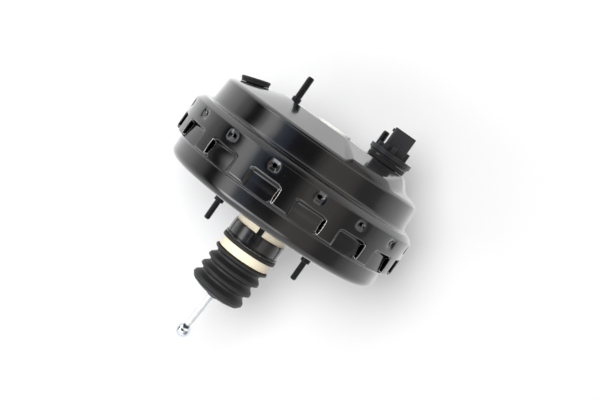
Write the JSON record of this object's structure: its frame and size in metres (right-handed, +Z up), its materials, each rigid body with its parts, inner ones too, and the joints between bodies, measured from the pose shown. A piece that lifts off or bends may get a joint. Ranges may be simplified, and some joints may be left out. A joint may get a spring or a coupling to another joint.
{
  "type": "vacuum brake booster",
  "caption": "Vacuum brake booster with its push rod, boot, studs and vacuum sensor, without the master cylinder",
  "frame": {"origin": "On the booster's axis, in the plane of the rear mounting pad.", "axes": "+X runs along the axis towards the master cylinder, +Z is up, and +Y is the side of the vacuum grommet."},
  "size_m": [0.311, 0.27, 0.27],
  "materials": {
    "black_paint": "gloss",
    "black_plated_steel": "satin",
    "zinc_plated_steel": "satin",
    "phosphated_steel": "matte",
    "spring_steel": "satin",
    "cream_nylon": "matte",
    "white_nylon": "matte",
    "black_plastic": "matte",
    "black_rubber": "matte",
    "phenolic": "matte",
    "grey_foam": "matte",
    "terminal_brass": "satin"
  },
  "bodies": {
    "housing": {"front_shell": "black_paint", "rear_shell": "black_paint", "front_reinforcement": "phosphated_steel", "front_stud_left": "black_plated_steel", "front_stud_right": "black_plated_steel", "rear_stud_left": "black_plated_steel", "rear_stud_right": "black_plated_steel", "bore_ring": "white_nylon", "vacuum_grommet": "black_rubber", "sensor_grommet": "black_rubber", "sensor_body": "black_plastic", "sensor_terminal_1": "terminal_brass", "sensor_terminal_2": "terminal_brass", "sensor_terminal_3": "terminal_brass", "guide_sleeve": "cream_nylon", "neck_seal": "black_rubber", "neck_bearing": "white_nylon", "bulkhead_collar": "black_plastic", "bulkhead_seal": "black_rubber", "boot": "black_rubber", "diaphragm": "black_rubber", "return_spring": "spring_steel"},
    "piston": {"valve_body": "phenolic", "valve_key": "zinc_plated_steel", "diaphragm_plate": "phosphated_steel", "reaction_disc": "black_rubber", "output_rod": "zinc_plated_steel", "output_rod_retainer": "phosphated_steel", "poppet_valve": "black_rubber", "poppet_retainer": "phosphated_steel", "poppet_spring": "spring_steel", "rod_return_spring": "spring_steel", "air_filter": "grey_foam"},
    "plunger": {"valve_plunger": "zinc_plated_steel"},
    "input_rod": {"push_rod": "zinc_plated_steel"}
  },
  "joints": [
    {"name": "piston_stroke", "type": "slide", "parent": "housing", "child": "piston", "axis": [1, 0, 0], "range_m": [0, 0.036], "stiffness_N_per_m": 3000, "springref_m": -0.03, "deforming": ["return_spring", "diaphragm", "boot"]},
    {"name": "plunger_travel", "type": "slide", "parent": "piston", "child": "plunger", "axis": [1, 0, 0], "range_m": [0, 0.0011], "stiffness_N_per_m": 1500, "springref_m": -0.01, "deforming": ["poppet_valve", "poppet_spring", "rod_return_spring"]},
    {"name": "rod_swivel", "type": "hinge", "parent": "plunger", "child": "input_rod", "pos_m": [-0.034, 0, 0], "axis": [0, 0, 1], "range_deg": [-1.5, 9.5], "deforming": ["air_filter"]}
  ]
}
